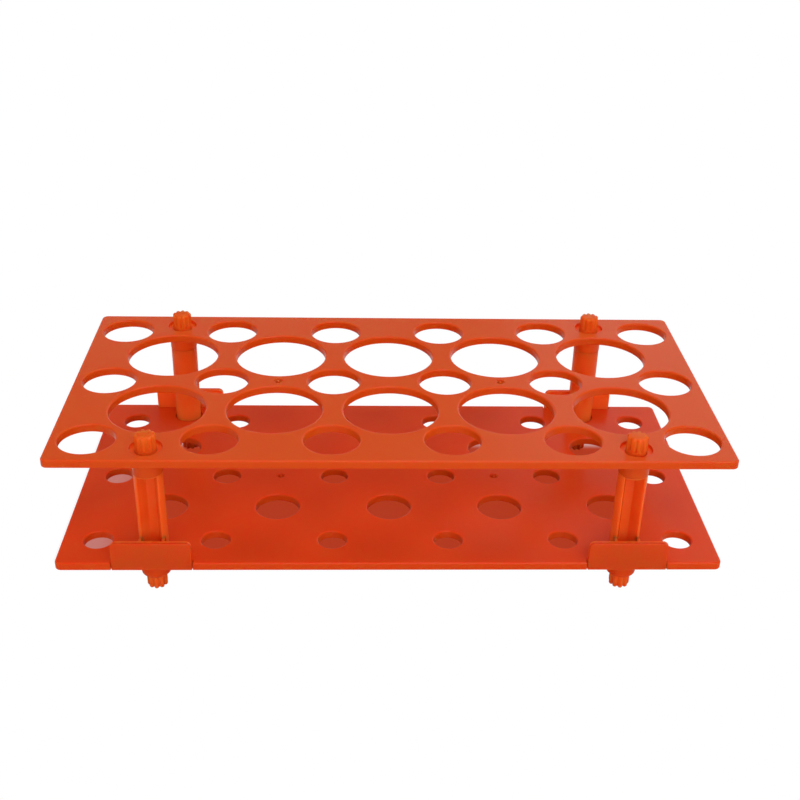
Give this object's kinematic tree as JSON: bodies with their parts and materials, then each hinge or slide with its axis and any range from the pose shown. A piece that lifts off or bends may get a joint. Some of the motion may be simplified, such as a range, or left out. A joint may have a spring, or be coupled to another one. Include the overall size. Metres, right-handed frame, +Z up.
{
  "type": "test tube rack",
  "caption": "Two-plate laboratory rack with small and large round holes for conical tubes, held apart by four pegged corner pillars that are also its feet",
  "frame": {"origin": "centre of the four feet, on the surface that the rack stands on", "axes": "+X along the rack's length, to the right seen from the front; +Y from front to back; +Z up"},
  "size_m": [0.205, 0.1, 0.0546],
  "materials": {
    "upper_plate_plastic": "translucent orange polypropylene, glossy",
    "lower_plate_plastic": "translucent orange polypropylene, glossy",
    "pillar_plastic": "translucent orange polypropylene, glossy"
  },
  "bodies": {
    "root": {"upper_plate": "upper_plate_plastic", "lower_plate": "lower_plate_plastic", "pillar_front_left": "pillar_plastic", "pillar_front_right": "pillar_plastic", "pillar_rear_left": "pillar_plastic", "pillar_rear_right": "pillar_plastic"}
  },
  "joints": []
}
